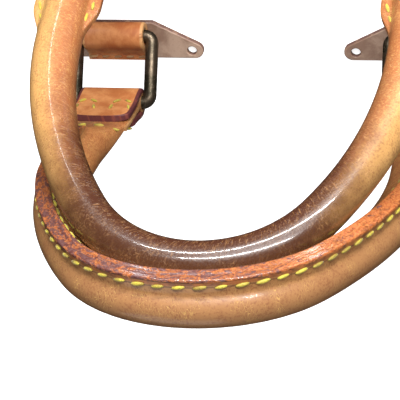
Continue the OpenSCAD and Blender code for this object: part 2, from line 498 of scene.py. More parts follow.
def core_cord() -> bpy.types.Material:
    """Builds the cord inside a roll.

    Returns:
        The material.
    """
    g = Graph("core_cord")
    fibre = g.noise(g.place((300, 2400, 1000)), 3, 0.6)
    colour = g.mix(g.band(fibre, 0.35, 0.65), shade(198, 178, 138), shade(150, 128, 92))
    return g.finish(colour, 0.85, g.bump(fibre, 0.0002))


def studio_white() -> bpy.types.Material:
    """Builds the floor's even white.

    Returns:
        The material.
    """
    g = Graph("studio_white")
    grain = g.noise(g.place((30, 30, 30), uv=False), 2, 0.5)
    colour = g.mix(g.band(grain, 0.3, 0.7), (0.86, 0.86, 0.86, 1), (0.88, 0.88, 0.88, 1))
    material = g.finish(colour, 0.9, g.bump(grain, 0.00001), Emission_Strength=0.8)
    g.shader.inputs["Emission Color"].default_value = (1, 1, 1, 1)
    return material


class Dressing:
    """All of the finishes, each built once."""

    def __init__(self) -> None:
        """Builds the finishes."""
        self.roll = {
            Row.FRONT: Patina("front_roll_leather", honey=shade(208, 158, 94),
                              orange=shade(164, 98, 54), dark=shade(66, 36, 25),
                              shadow=shade(146, 88, 50), vein=shade(206, 154, 98),
                              crown_reach=0.062, crown_share=0.97, outer_shade=0.0,
                              speckle=0.6).build(),
            Row.REAR: Patina("rear_roll_leather", honey=shade(206, 150, 88),
                             orange=shade(182, 116, 66), dark=shade(138, 94, 64),
                             shadow=shade(150, 86, 44), vein=shade(206, 162, 92),
                             crown_reach=0.03, crown_share=0.12, outer_shade=0.65,
                             speckle=0.85).build(),
        }
        burgundy = shade(92, 44, 46)
        self.tab = PlainLeather("tab_leather", shade(206, 140, 86), shade(180, 108, 60),
                                burgundy, shade(122, 62, 52)).build()
        self.strap = PlainLeather("strap_leather", shade(202, 134, 80), shade(172, 98, 52),
                                  shade(206, 152, 98), shade(170, 110, 66)).build()
        self.base = PlainLeather("base_leather", shade(170, 142, 122), shade(138, 108, 90),
                                 shade(112, 82, 72), shade(150, 118, 98)).build(mapped=False)
        self.liner = PlainLeather("liner_leather", shade(186, 140, 90), shade(150, 104, 62),
                                  shade(120, 70, 50), shade(150, 100, 64)).build(mapped=False)
        self.thread = waxed_thread("waxed_thread", shade(196, 180, 58), shade(146, 124, 42))
        self.pale_thread = waxed_thread("pale_thread", shade(184, 142, 96), shade(150, 106, 66))
        self.ring = aged_brass()
        self.core = core_cord()


# ---------------------------------------------------------------- meshes


@dataclass
class Sheet:
    """A surface made of rings of points, with the numbers that its finish reads."""

    points: np.ndarray                                   # rings x points x 3
    ring_uv: np.ndarray                                  # one number for each ring
    point_uv: np.ndarray                                 # rings x (points + 1)
    numbers: dict[str, np.ndarray] = field(default_factory=dict)
    looped: bool = False                                 # the last ring joins the first

    def build(self, name: str, material: bpy.types.Material, place: Matrix) -> bpy.types.Object:
        """Makes the mesh, with its ends closed.

        Args:
            name: The piece's name.
            material: Its finish.
            place: Where it goes, applied to its points.

        Returns:
            The finished piece.
        """
        rings, count = self.points.shape[:2]
        vertices = self.points.reshape(-1, 3)
        last = rings if self.looped else rings - 1
        i, j = np.meshgrid(np.arange(last), np.arange(count), indexing="ij")
        up, right = (i + 1) % rings, (j + 1) % count
        quads = np.stack([i * count + j, i * count + right, up * count + right, up * count + j], -1)
        along, across = self.ring_uv, self.point_uv
        if self.looped:
            along = np.append(along, 2 * along[-1] - along[-2])
            across = np.vstack([across, across[:1]])
        corners = [(i, j), (i, j + 1), (i + 1, j + 1), (i + 1, j)]
        uv = np.stack([np.stack([along[a], across[a, b]], -1) for a, b in corners], 2)
        faces = quads.reshape(-1, 4).tolist()
        loops = uv.reshape(-1, 2)
        values = {key: number.reshape(-1) for key, number in self.numbers.items()}
        if not self.looped:
            for ring, turn in ((0, -1), (rings - 1, 1)):
                centre = len(vertices)
                vertices = np.vstack([vertices, self.points[ring].mean(0)])
                values = {key: np.append(number, self.numbers[key][ring].mean())
                          for key, number in values.items()}
                for k in range(count):
                    pair = [ring * count + k, ring * count + (k + 1) % count][::turn]
                    faces.append([*pair, centre])
                loops = np.vstack([loops, np.tile([self.ring_uv[ring], 0.0], (3 * count, 1))])
        mesh = bpy.data.meshes.new(name)
        mesh.from_pydata(vertices.tolist(), [], faces)
        mesh.uv_layers.new(name=UV_NAME)
        mesh.uv_layers[UV_NAME].data.foreach_set("uv", loops.astype(np.float32).ravel())
        for key, number in values.items():
            layer = mesh.attributes.new(key, "FLOAT", "POINT")
            layer.data.foreach_set("value", number.astype(np.float32))
        mesh.transform(place)
        mesh.polygons.foreach_set("use_smooth", np.ones(len(mesh.polygons), bool))
        mesh.materials.append(material)
        mesh.update()
        piece = add(name, mesh)
        outwards(piece)
        return piece


def add(name: str, data: bpy.types.ID) -> bpy.types.Object:
    """Puts a new object into the scene.

    Args:
        name: Its name.
        data: Its mesh, curve, light or camera.

    Returns:
        The object.
    """
    made = bpy.data.objects.new(name, data)
    bpy.context.scene.collection.objects.link(made)
    return made


def off_line(middle: np.ndarray, out: np.ndarray, outward: np.ndarray,
             front: np.ndarray) -> np.ndarray:
    """Places the points of each section about a flat middle line.

    Args:
        middle: The line's points.
        out: The direction out of the line at each.
        outward: How far each point of a section lies that way.
        front: How far it lies off the line's plane.

    Returns:
        The points, rings x points x 3.
    """
    flat = [middle[:, k:k + 1] + outward * out[:, k:k + 1] for k in (0, 1)]
    return np.stack([*flat, front], -1)


def outwards(piece: bpy.types.Object) -> None:
    """Turns a closed mesh's faces to point outwards.

    Args:
        piece: The mesh to turn.
    """
    mesh = piece.data
    points = np.zeros(len(mesh.vertices) * 3)
    mesh.vertices.foreach_get("co", points)
    points = points.reshape(-1, 3) - points.reshape(-1, 3).mean(0)
    mesh.calc_loop_triangles()
    corners = np.zeros(len(mesh.loop_triangles) * 3, int)
    mesh.loop_triangles.foreach_get("vertices", corners)
    a, b, c = (points[corners.reshape(-1, 3)[:, k]] for k in range(3))
    if np.einsum("ij,ij->i", a, np.cross(b, c)).sum() < 0:
        mesh.flip_normals()
        mesh.update()


def settle(piece: bpy.types.Object, body: str, finish: Finish, *nodes: str) -> None:
    """Hands a finished piece to its body and the nodes that it stands for.

    Args:
        piece: The piece.
        body: The body that it moves with.
        finish: The record's material slot; not used.
        nodes: The nodes that it replaces.
    """
    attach(piece, body)
    if nodes:
        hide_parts(*nodes)
    LOG.info("%s rides on %s, %d faces", piece.name, body, len(piece.data.polygons))


# ---------------------------------------------------------------- stitches


@dataclass(frozen=True)
class Stitching:
    """A row of stitches, laid along a path by Geometry Nodes."""

    pitch: float = 5.55 * MM
    length: float = 3.9 * MM
    thickness: float = 1.15 * MM
    slant: float = 9.0                                   # degrees, in the leather's plane
    seed: int = 7

    def tree(self) -> bpy.types.NodeTree:
        """Builds the node tree, with named inputs for its sizes.

        Returns:
            The tree.
        """
        tree = bpy.data.node_groups.new("stitch_row", "GeometryNodeTree")
        face = tree.interface
        face.new_socket("Geometry", in_out="INPUT", socket_type="NodeSocketGeometry")
        for name in ("Pitch", "Length", "Thickness", "Slant"):
            face.new_socket(name, in_out="INPUT", socket_type="NodeSocketFloat")
        face.new_socket("Thread", in_out="INPUT", socket_type="NodeSocketMaterial")
        face.new_socket("Geometry", in_out="OUTPUT", socket_type="NodeSocketGeometry")
        new, link = tree.nodes.new, tree.links.new
        source, result = new("NodeGroupInput"), new("NodeGroupOutput")
        curve = new("GeometryNodeMeshToCurve")
        spaced = new("GeometryNodeResampleCurve")
        spaced.mode = "LENGTH"
        link(source.outputs["Geometry"], curve.inputs["Mesh"])
        link(curve.outputs["Curve"], spaced.inputs["Curve"])
        link(source.outputs["Pitch"], spaced.inputs["Length"])
        bead = new("GeometryNodeMeshUVSphere")
        bead.inputs["Segments"].default_value = 10
        bead.inputs["Rings"].default_value = 8
        bead.inputs["Radius"].default_value = 0.5
        size = new("ShaderNodeCombineXYZ")
        for axis, name in zip("XYZ", ("Length", "Thickness", "Thickness")):
            link(source.outputs[name], size.inputs[axis])
        tilt = new("ShaderNodeCombineXYZ")
        link(source.outputs["Slant"], tilt.inputs["Z"])
        shaped = new("GeometryNodeTransform")
        slanted = new("GeometryNodeTransform")
        link(bead.outputs["Mesh"], shaped.inputs["Geometry"])
        link(size.outputs["Vector"], shaped.inputs["Scale"])
        link(shaped.outputs["Geometry"], slanted.inputs["Geometry"])
        link(tilt.outputs["Vector"], slanted.inputs["Rotation"])
        tangent = new("GeometryNodeInputTangent")
        lie = new("FunctionNodeAlignRotationToVector")
        lie.axis = "X"
        link(tangent.outputs["Tangent"], lie.inputs["Vector"])
        normal = new("GeometryNodeInputNamedAttribute")
        normal.data_type = "FLOAT_VECTOR"
        normal.inputs["Name"].default_value = "off_leather"
        stand = new("FunctionNodeAlignRotationToVector")
        stand.axis, stand.pivot_axis = "Z", "X"
        link(lie.outputs["Rotation"], stand.inputs["Rotation"])
        link(normal.outputs["Attribute"], stand.inputs["Vector"])
        vary = new("FunctionNodeRandomValue")
        vary.data_type = "FLOAT"
        vary.inputs["Min"].default_value = 0.9
        vary.inputs["Max"].default_value = 1.08
        vary.inputs["Seed"].default_value = self.seed
        laid = new("GeometryNodeInstanceOnPoints")
        link(spaced.outputs["Curve"], laid.inputs["Points"])
        link(slanted.outputs["Geometry"], laid.inputs["Instance"])
        link(stand.outputs["Rotation"], laid.inputs["Rotation"])
        link(vary.outputs["Value"], laid.inputs["Scale"])
        real = new("GeometryNodeRealizeInstances")
        dyed = new("GeometryNodeSetMaterial")
        smooth = new("GeometryNodeSetShadeSmooth")
        link(laid.outputs["Instances"], real.inputs["Geometry"])
        link(real.outputs["Geometry"], smooth.inputs["Geometry"])
        link(smooth.outputs["Geometry"], dyed.inputs["Geometry"])
        link(source.outputs["Thread"], dyed.inputs["Material"])
        link(dyed.outputs["Geometry"], result.inputs["Geometry"])
        return tree

    def sew(self, name: str, paths: list[tuple[np.ndarray, np.ndarray]], thread: bpy.types.Material,
            place: Matrix) -> bpy.types.Object:
        """Sews stitches along paths.

        Args:
            name: The piece's name.
            paths: Pairs of points along a path and the directions off the leather there.
            thread: The thread's finish.
            place: Where the paths go.

        Returns:
            The stitches as one plain mesh.
        """
        points = np.vstack([path for path, _ in paths])
        normals = np.vstack([off for _, off in paths])
        starts = np.cumsum([0] + [len(path) for path, _ in paths])
        edges = [(k, k + 1) for a, b in zip(starts, starts[1:]) for k in range(a, b - 1)]
        turn = np.array(place.to_3x3())
        mesh = bpy.data.meshes.new(name + "_path")
        mesh.from_pydata(points.tolist(), edges, [])
        mesh.transform(place)
        layer = mesh.attributes.new("off_leather", "FLOAT_VECTOR", "POINT")
        layer.data.foreach_set("vector", (normals @ turn.T).astype(np.float32).ravel())
        path_object = add(name + "_path", mesh)
        tree = bpy.data.node_groups.get("stitch_row") or self.tree()
        modifier = path_object.modifiers.new("stitches", "NODES")
        modifier.node_group = tree
        values = {"Pitch": self.pitch, "Length": self.length, "Thickness": self.thickness,
                  "Slant": math.radians(self.slant), "Thread": thread}
        for item in tree.interface.items_tree:
            if item.in_out == "INPUT" and item.name in values:
                modifier[item.identifier] = values[item.name]
        shown = path_object.evaluated_get(bpy.context.evaluated_depsgraph_get())
        result = bpy.data.meshes.new_from_object(shown)
        path_object.modifiers.remove(modifier)
        bpy.data.objects.remove(path_object)
        result.name = name
        return add(name, result)


# ---------------------------------------------------------------- the handle


@dataclass(frozen=True)
class Arch:
    """The middle line of a handle, in its own plane, measured from the ring bar upwards."""

    height: float = 141 * MM
    crown_r: float = 39.5 * MM
    crown_angle: float = math.radians(55.5)
    side_r: float = 117 * MM

    @property
    def crown_length(self) -> float:
        """Gives half of the crown's length."""
        return self.crown_r * self.crown_angle

    @property
    def side_length(self) -> float:
        """Gives the length of one side curve."""
        return self.side_r * (math.pi / 2 - self.crown_angle)

    @property
    def leg_x(self) -> float:
        """Gives the distance of a leg from the middle."""
        return self.side_r - (self.side_r - self.crown_r) * math.sin(self.crown_angle)

    @property
    def leg_length(self) -> float:
        """Gives the height at which a side curve turns into a straight leg."""
        drop = (self.side_r - self.crown_r) * math.cos(self.crown_angle)
        return self.height - self.crown_r - drop

    @property
    def half_length(self) -> float:
        """Gives the length from the crown's middle down to a ring bar."""
        return self.crown_length + self.side_length + self.leg_length

    def follow(self, along: np.ndarray) -> tuple[np.ndarray, np.ndarray, np.ndarray]:
        """Walks along the middle line.

        Args:
            along: Distances from the crown's middle, negative on the left.

        Returns:
            The points across and up, the direction out of the arch, and the direction of travel.
        """
        away, sign = np.abs(along), np.where(along < 0, -1.0, 1.0)
        on_crown = np.minimum(away, self.crown_length)
        on_side = np.clip(away - self.crown_length, 0, self.side_length)
        on_leg = np.maximum(away - self.crown_length - self.side_length, 0)
        crown = on_crown / self.crown_r
        turn = self.crown_angle + on_side / self.side_r
        past = away > self.crown_length
        across = self.crown_r * np.sin(crown)
        up = self.height - self.crown_r * (1 - np.cos(crown))
        beside = self.side_r * (np.sin(turn) - math.sin(self.crown_angle))
        below = self.side_r * (np.cos(turn) - math.cos(self.crown_angle))
        across = across + np.where(past, beside, 0)
        up = up + np.where(past, below, 0) - on_leg
        angle = np.where(past, turn, crown)
        out = np.stack([sign * np.sin(angle), np.cos(angle)], -1)
        travel = np.stack([np.cos(angle), -sign * np.sin(angle)], -1)
        return np.stack([sign * across, up], -1), out, travel


@dataclass(frozen=True)
class RollShape:
    """Cross-section of the rolled leather along its length."""

    crown_radius: float = 6.15 * MM
    leg_radius: float = 7.1 * MM
    ridge_reach: float = 10.9 * MM
    ridge_thickness: float = 4.8 * MM
    ridge_twist: float = 0.0
    flange_start: float = 72 * MM                        # height above the bar where they begin
    flange_full: float = 46 * MM                         # and where they are at full width
    flange_width: float = 10.4 * MM                      # half of it, 0 for none
    bulge_start: float = 46 * MM                         # height where the roll begins to flatten
    bulge_end: float = 24 * MM                           # and where it is flat
    tongue_width: float = 9.8 * MM                       # half of the flat end's width
    flat_thickness: float = 1.2 * MM                     # half of it
    tip: float = 7 * MM                                  # height of the leather's end above the bar

    def angles(self) -> np.ndarray:
        """Spaces the points round a section, closer together where it turns sharply.

        Returns:
            Angles from the ridge's own direction, in radians.
        """
        wide = np.radians(np.linspace(26, 334, 64))
        flank = np.linspace(9, 25, 14)
        ridge = np.radians(np.concatenate([-flank[::-1], np.linspace(-8, 8, 9), flank]))
        brims = np.radians([82, 85, 87.5, 92.5, 95, 98, 262, 265, 267.5, 272.5, 275, 278])
        return np.sort(np.concatenate([ridge, wide, brims]))

    def oval(self, height: np.ndarray) -> tuple[np.ndarray, np.ndarray, np.ndarray]:
        """Gives the roll without its ridge: round along the arch, flat and wide at its ends.

        Args:
            height: Heights above the bar.

        Returns:
            Half of its width, half of its thickness, and how square it is.
        """
        flat = ease(height, self.bulge_start, self.bulge_end)
        grown = ease(height, 120 * MM, 60 * MM)
        radius = self.crown_radius + (self.leg_radius - self.crown_radius) * grown
        wide = radius * (1 - flat) + self.tongue_width * flat
        deep = radius * (1 - flat) + self.flat_thickness * flat
        return wide, deep, 2 + 2.5 * flat

    def lift(self, across: np.ndarray, height: np.ndarray) -> np.ndarray:
        """Gives how far the roll's face lies off its middle plane.

        Args:
            across: Distances from the roll's middle line.
            height: Heights above the bar.

        Returns:
            The face's distance at each place.
        """
        wide, deep, power = self.oval(height)
        part = np.clip(np.abs(across) / wide, 0, 0.999)
        return deep * (1 - part ** power) ** (1 / power)

    def reach(self, angle: np.ndarray, height: np.ndarray) -> tuple[np.ndarray, np.ndarray]:
        """Gives the section's reach in each direction.

        Args:
            angle: Directions from the ridge's own, rings x points.
            height: Height of each ring above the bar, rings x 1.

        Returns:
            The reach, and how far up the ridge each point lies.
        """
        true = angle + self.ridge_twist * fade_twist(height, self)
        wide, deep, power = self.oval(height)
        sides, faces = np.abs(np.sin(true)) / wide, np.abs(np.cos(true)) / deep
        radius = (sides ** power + faces ** power) ** (-1 / power)
        fade = ease(height, self.bulge_end + 6 * MM, self.bulge_start + 6 * MM)
        ridge_reach = self.ridge_reach * fade + 1e-6
        cos, sin = np.cos(angle), np.abs(np.sin(angle)) + 1e-9
        dip = 1 - 0.022 * np.exp(-(angle_from_zero(angle) / math.radians(1.8)) ** 2)
        tall = ridge_reach * dip / np.maximum(cos, 1e-6)
        thick = self.ridge_thickness / 2 * (0.5 + 0.5 * fade) / sin
        slab = np.where(cos > 0, (tall ** -14.0 + thick ** -14.0) ** (-1 / 14), 1e-6)
        width = self.flange_width * ease(height, self.flange_start, self.flange_full) + 1e-4
        brim_long = width / (np.abs(np.sin(true)) + 1e-9)
        brim_thick = self.flat_thickness / (np.abs(np.cos(true)) + 1e-9)
        brim = (brim_long ** -10.0 + brim_thick ** -10.0) ** (-1 / 10)
        total = (radius ** 9 + slab ** 9 + brim ** 9) ** (1 / 9)
        on_ridge = (cos > 0) & (np.abs(total * sin) < self.ridge_thickness / 2 + 0.6 * MM)
        climb = np.where(on_ridge, total * cos, 0)
        return total, climb * (fade > 0.5)


def angle_from_zero(angle: np.ndarray) -> np.ndarray:
    """Gives each angle's distance from zero, the short way round."""
    return np.abs((angle + math.pi) % (2 * math.pi) - math.pi)


def fade_twist(height: np.ndarray, shape: RollShape) -> np.ndarray:
    """Gives how much of the ridge's twist is left at a height: none where the roll is flat."""
    return ease(height, shape.flange_full, shape.flange_start + 12 * MM)


@dataclass(frozen=True)
class FoldedStrap:
    """A strip of leather folded round a bar, with its two plies running off to one side."""

    width: float = 21 * MM
    thickness: float = 2.3 * MM
    bend: float = 3.75 * MM                              # from the bar's middle to the strip's
    upper_length: float = 21 * MM
    lower_length: float = 15 * MM
    upper_rest: float = 2.45 * MM                        # where the plies settle beyond the bar
    lower_rest: float = -2.45 * MM
    settle: float = 11 * MM                              # how far from the bar it has settled
    rounding: float = 5 * MM                             # length of the rounded ends, 0 for square

    def path(self) -> tuple[np.ndarray, np.ndarray, np.ndarray]:
        """Walks the strip from the upper ply's end, round the bar, to the lower ply's end.

        Returns:
            The points (away from the bar, off its plane), the directions of the strip's outer
            face, and half of the strip's width at each point.
        """
        upper = self.upper_length * (1 - np.linspace(1, 0, 60) ** 1.7)[::-1]
        lower = self.lower_length * (1 - np.linspace(1, 0, 60) ** 1.7)
        turn = np.linspace(0, math.pi, 36)[1:-1]
        drop = ease(upper, 0, self.settle)
        rise = ease(lower, 0, self.settle)
        away = np.concatenate([upper, -self.bend * np.sin(turn), lower])
        off = np.concatenate([
            self.bend + (self.upper_rest - self.bend) * drop,
            self.bend * np.cos(turn),
            -self.bend + (self.lower_rest + self.bend) * rise,
        ])
        points = np.stack([away, off], -1)
        travel = np.gradient(points, axis=0)
        travel /= np.linalg.norm(travel, axis=1)[:, None] + 1e-12
        face = np.stack([travel[:, 1], -travel[:, 0]], -1)
        half = np.full(len(away), self.width / 2)
        if self.rounding:
            plies = ((self.upper_length, slice(0, 60)), (self.lower_length, slice(-60, None)))
            for length, part in plies:
                into = np.clip((away[part] - (length - self.rounding)) / self.rounding, 0, 1)
                half[part] *= np.clip(1 - into ** 3.2, 0, 1) ** (1 / 3.2) * 0.999 + 0.001
        return points, -face, half

    def sheet(self) -> Sheet:
        """Builds the strip's surface.

        Returns:
            The surface, across X, away from the bar along Y and off its plane along Z.
        """
        points, face, half = self.path()
        corner = 0.55 * MM
        side = np.linspace(-0.5, 0.5, 9) * (self.thickness - 2 * corner)
        bend = np.radians(np.linspace(0, 90, 5))
        edge_x = np.concatenate([corner * (np.sin(bend) - 1), np.zeros(7),
                                 corner * (np.cos(bend) - 1)])
        edge_z = np.concatenate([-self.thickness / 2 + corner * (1 - np.cos(bend)), side[1:-1],
                                 self.thickness / 2 - corner * (1 - np.sin(bend))])
        spread = np.linspace(-1, 1, 25)[1:-1]
        face_z = np.full(len(spread), self.thickness / 2)
        rim = np.tile(np.concatenate([np.ones(len(edge_z)), np.zeros(len(spread))]), 2)
        rows, across = [], []
        for here, off, wide in zip(points, face, half):
            squeeze = min(1.0, wide / (1.2 * MM))
            x_right = wide + edge_x * squeeze
            inner = wide - corner * squeeze
            x = np.concatenate([x_right, inner * spread[::-1], -x_right[::-1], inner * spread])
            z = np.concatenate([edge_z, face_z, edge_z[::-1], -face_z])
            rows.append(np.stack([x, here[0] + z * off[0], here[1] + z * off[1]], -1))
            across.append(np.append(x, x[0]) + np.append(z, z[0]) * 0.3)
        steps = np.linalg.norm(np.diff(points, axis=0), axis=1)
        along = np.concatenate([[0], np.cumsum(steps)])
        rims = np.tile(rim, (len(rows), 1))
        return Sheet(np.array(rows), along, np.array(across), {"rim": rims})


@dataclass
class Handle:
    """One rolled handle with its core, seam thread, tabs and tab thread."""

    row: Row
    dressing: Dressing
    arch: Arch
    shape: RollShape
    place: Matrix
    seam_height: float = 8.7 * MM                        # of the seam's stitches, up the ridge
    ring_steps: int = 420
    cord_radius: float = 4.6 * MM                        # of the core, in the hollows of its lay
    cord_strand: float = 0.3 * MM                        # how far a strand stands out
    cord_lay: float = 22 * MM                            # length of one turn of a strand
    corner_x: float = 5.9 * MM                           # middle of a tab's curved stitches
    corner_y: float = 12.6 * MM
    corner_wide: float = 3.0 * MM
    corner_high: float = 5.2 * MM
    row_half: float = 8.2 * MM                           # half of a tab's straight stitch rows
    row_y: float = 29.5 * MM                             # height of the row on the roll's flat end
    back_row_y: float = 14 * MM

    @property
    def body(self) -> str:
        """Gives the body that the handle's pieces move with."""
        return f"{self.row.value}_handle"

    def end(self, side: Side) -> Matrix:
        """Gives the place of one ring bar's middle.

        Args:
            side: Which end of the handle.

        Returns:
            The place, turned as the handle is.
        """
        sign = side.sign if self.row is Row.REAR else -side.sign
        return self.place @ Matrix.Translation((sign * self.arch.leg_x, 0, 0))

    def roll(self) -> bpy.types.Object:
        """Builds the rolled leather.

        Returns:
            The finished piece.
        """
        reach = self.arch.half_length - self.shape.tip
        along = np.linspace(-reach, reach, self.ring_steps)
        middle, out, _ = self.arch.follow(along)
        height = np.maximum(self.arch.half_length - np.abs(along), 0)[:, None]
        angle = np.tile(self.shape.angles(), (len(along), 1))
        total, climb = self.shape.reach(angle, height)
        true = angle + self.shape.ridge_twist * fade_twist(height, self.shape)
        points = off_line(middle, out, total * np.sin(true), total * np.cos(true))
        closed = np.concatenate([points, points[:, :1]], 1)
        steps = np.linalg.norm(np.diff(closed, axis=1), axis=2)
        across = np.concatenate([np.zeros((len(along), 1)), np.cumsum(steps, axis=1)], 1)
        across = across - across[:, -1:] / 2
        x_sign = 1 if self.row is Row.REAR else -1
        numbers = {
            "along": np.tile(along[:, None] * x_sign, (1, angle.shape[1])),
            "outward": np.sin(true) * np.ones_like(total),
            "ridge": climb / MM,
        }
        sheet = Sheet(points, along, across, numbers)
        piece = sheet.build(f"{self.row.value}_roll_hide", self.dressing.roll[self.row], self.place)
        settle(piece, self.body, Finish.ROLL, f"{self.row.value}_roll")
        return piece

    def core(self) -> bpy.types.Object:
        """Builds the three-strand cord inside the roll.

        Returns:
            The finished piece.
        """
        reach = self.arch.half_length - self.shape.bulge_start
        along = np.linspace(-reach, reach, 260)
        middle, out, _ = self.arch.follow(along)
        angle = np.tile(np.linspace(0, 2 * math.pi, 48, endpoint=False), (len(along), 1))
        lay = along[:, None] / self.cord_lay * 2 * math.pi
        total = self.cord_radius + self.cord_strand * np.abs(np.cos(1.5 * (angle - lay)))
        points = off_line(middle, out, total * np.sin(angle), total * np.cos(angle))
        across = np.tile(np.linspace(0, 2 * math.pi * self.cord_radius, 49), (len(along), 1))
        sheet = Sheet(points, along, across)
        piece = sheet.build(f"{self.row.value}_core_cord", self.dressing.core, self.place)
        settle(piece, self.body, Finish.CORE, f"{self.row.value}_core")
        return piece

    def seam(self) -> bpy.types.Object:
        """Sews the seam along both faces of the ridge.

        Returns:
            The stitches.
        """
        reach = self.arch.half_length - self.shape.flange_full
        along = np.linspace(-reach, reach, 500)
        middle, out, _ = self.arch.follow(along)
        twist = self.shape.ridge_twist
        up = np.stack([math.sin(twist) * out[:, 0], math.sin(twist) * out[:, 1],
                       np.full(len(along), math.cos(twist))], -1)
        across = np.stack([math.cos(twist) * out[:, 0], math.cos(twist) * out[:, 1],
                           np.full(len(along), -math.sin(twist))], -1)
        base = np.concatenate([middle, np.zeros((len(along), 1))], 1) + self.seam_height * up
        half = self.shape.ridge_thickness / 2 + 0.12 * MM
        paths = [(base + side * half * across, side * across) for side in (-1, 1)]
        name = f"{self.row.value}_seam_stitches"
        piece = Stitching().sew(name, paths, self.dressing.thread, self.place)
        settle(piece, self.body, Finish.THREAD, f"{self.row.value}_seam_thread")
        return piece

    def tab(self, side: Side) -> None:
        """Builds the strap folded round one ring, and its stitches.

        Args:
            side: Which end of the handle.
        """
        fold = FoldedStrap()
        name = f"{self.row.value}_{side.value}_tab"
        piece = fold.sheet().build(f"{name}_hide", self.dressing.tab, self.end(side))
        settle(piece, self.body, Finish.TAB, name)
        face = fold.upper_rest + fold.thickness / 2 + 0.1 * MM
        paths = []
        for sign in (-1, 1):
            turn = np.linspace(math.radians(-8), math.radians(188), 40)
            x = sign * self.corner_x + self.corner_wide * np.cos(turn)
            y = self.corner_y - self.corner_high * np.sin(turn)
            z = np.full_like(x, face) + 0.9 * MM * (1 - ease(y, 4 * MM, fold.settle))
            paths.append((np.stack([x, y, z], -1), np.tile([0.0, 0.12, 1.0], (len(x), 1))))
        x = np.linspace(-self.row_half, self.row_half, 60)
        row = np.full_like(x, self.row_y)
        lift = self.shape.lift(x, row) + 0.1 * MM
        slope = -np.gradient(lift, x)
        off = np.stack([slope, np.full_like(x, 0.5), np.ones_like(x)], -1)
        paths.append((np.stack([x, row, lift], -1), off))
        back_x = np.linspace(-self.row_half, self.row_half, 30)
        back = [back_x, np.full_like(back_x, self.back_row_y), np.full_like(back_x, -face)]
        paths.append((np.stack(back, -1), np.tile([0.0, 0.0, -1.0], (len(back_x), 1))))
        stitch = Stitching(pitch=4.4 * MM, length=3.3 * MM, thickness=1.05 * MM, slant=5)
        threads = stitch.sew(f"{name}_stitches", paths, self.dressing.thread, self.end(side))
        settle(threads, self.body, Finish.THREAD, f"{name}_thread")

    def flange_threads(self, side: Side) -> None:
        """Sews the edge of the flange that widens towards one ring.

        Args:
            side: Which end of the handle.
        """
        height = np.linspace(self.shape.flange_start - 6 * MM, 26 * MM, 80)
        shape = self.shape
        width = shape.flange_width * ease(height, shape.flange_start, shape.flange_full)
        inset = width - 2.0 * MM
        keep = inset > self.shape.leg_radius * 0.98
        paths = []
        for sign in (-1, 1):
            for face in (-1, 1):
                x = sign * inset[keep]
                z = np.full_like(x, face * (self.shape.flat_thickness + 0.1 * MM))
                off = np.tile([0.0, 0.0, float(face)], (len(x), 1))
                paths.append((np.stack([x, height[keep], z], -1), off))
        name = f"{self.row.value}_{side.value}_flange_stitches"
        piece = Stitching(pitch=5.2 * MM).sew(name, paths, self.dressing.thread, self.end(side))
        settle(piece, self.body, Finish.THREAD)

    def build(self) -> None:
        """Builds the whole handle."""
        self.roll()
        self.core()
        self.seam()
        for side in Side:
            self.tab(side)
            if self.shape.flange_width:
                self.flange_threads(side)
            liner = frame_nodes()[f"{self.row.value}_{side.value}_liner"]
            dress(liner, self.dressing.liner)


def frame_nodes() -> dict[str, bpy.types.Object]:
    """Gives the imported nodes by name."""
    return {o.name: o for o in bpy.data.objects if "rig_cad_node" in o}


def dress(node: bpy.types.Object, material: bpy.types.Material) -> None:
    """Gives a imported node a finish.

    Args:
        node: The node's object.
        material: The finish.
    """
    if node.material_slots:
        for slot in node.material_slots:
            slot.material = material
    else:
        node.data.materials.append(material)


# ---------------------------------------------------------------- rings and base


@dataclass(frozen=True)
class Ring:
    """A rectangular ring of round bar, level, with its strap bar along X and its tab bar at +Y."""

    width: float = 26 * MM
    height: float = 22.6 * MM
    corner: float = 2.5 * MM
    bar: float = 2.2 * MM

    def sheet(self) -> Sheet:
        """Sweeps the bar round the ring.

        Returns:
            The ring's surface.
        """
        corners = [(1, 1, 0), (-1, 1, 90), (-1, -1, 180), (1, -1, 270)]
        middle, out = [], []
        for sx, sy, start in corners:
            centre = np.array([sx * (self.width / 2 - self.corner),
                               self.height / 2 + sy * (self.height / 2 - self.corner)])
            for turn in np.radians(start + np.linspace(0, 90, 11)):
                arm = np.array([math.cos(turn), math.sin(turn)])
                middle.append(centre + self.corner * arm)
                out.append(arm)
        middle, out = fill_gaps(np.array(middle), np.array(out), 0.8 * MM)
        angle = np.linspace(0, 2 * math.pi, 28, endpoint=False)
        angle = np.tile(angle, (len(middle), 1))
        points = off_line(middle, out, self.bar * np.cos(angle), self.bar * np.sin(angle))
        steps = np.linalg.norm(np.diff(middle, axis=0), axis=1)
        along = np.concatenate([[0], np.cumsum(steps)])
        across = np.tile(np.linspace(0, 2 * math.pi * self.bar, 29), (len(middle), 1))
        return Sheet(points, along, across, looped=True)


def fill_gaps(points: np.ndarray, out: np.ndarray, step: float) -> tuple[np.ndarray, np.ndarray]:
    """Adds points on the straight stretches of a closed path.

    Args:
        points: The path's points.
        out: The direction out of the path at each.
        step: The longest distance between two points.

    Returns:
        The fuller path and its directions.
    """
    full, ways = [], []
    for k in range(len(points)):
        a, b = points[k], points[(k + 1) % len(points)]
        u, v = out[k], out[(k + 1) % len(points)]
        count = max(1, int(np.linalg.norm(b - a) / step))
        for part in np.arange(count) / count:
            full.append(a + (b - a) * part)
            way = u + (v - u) * part
            ways.append(way / np.linalg.norm(way))
    return np.array(full), np.array(ways)


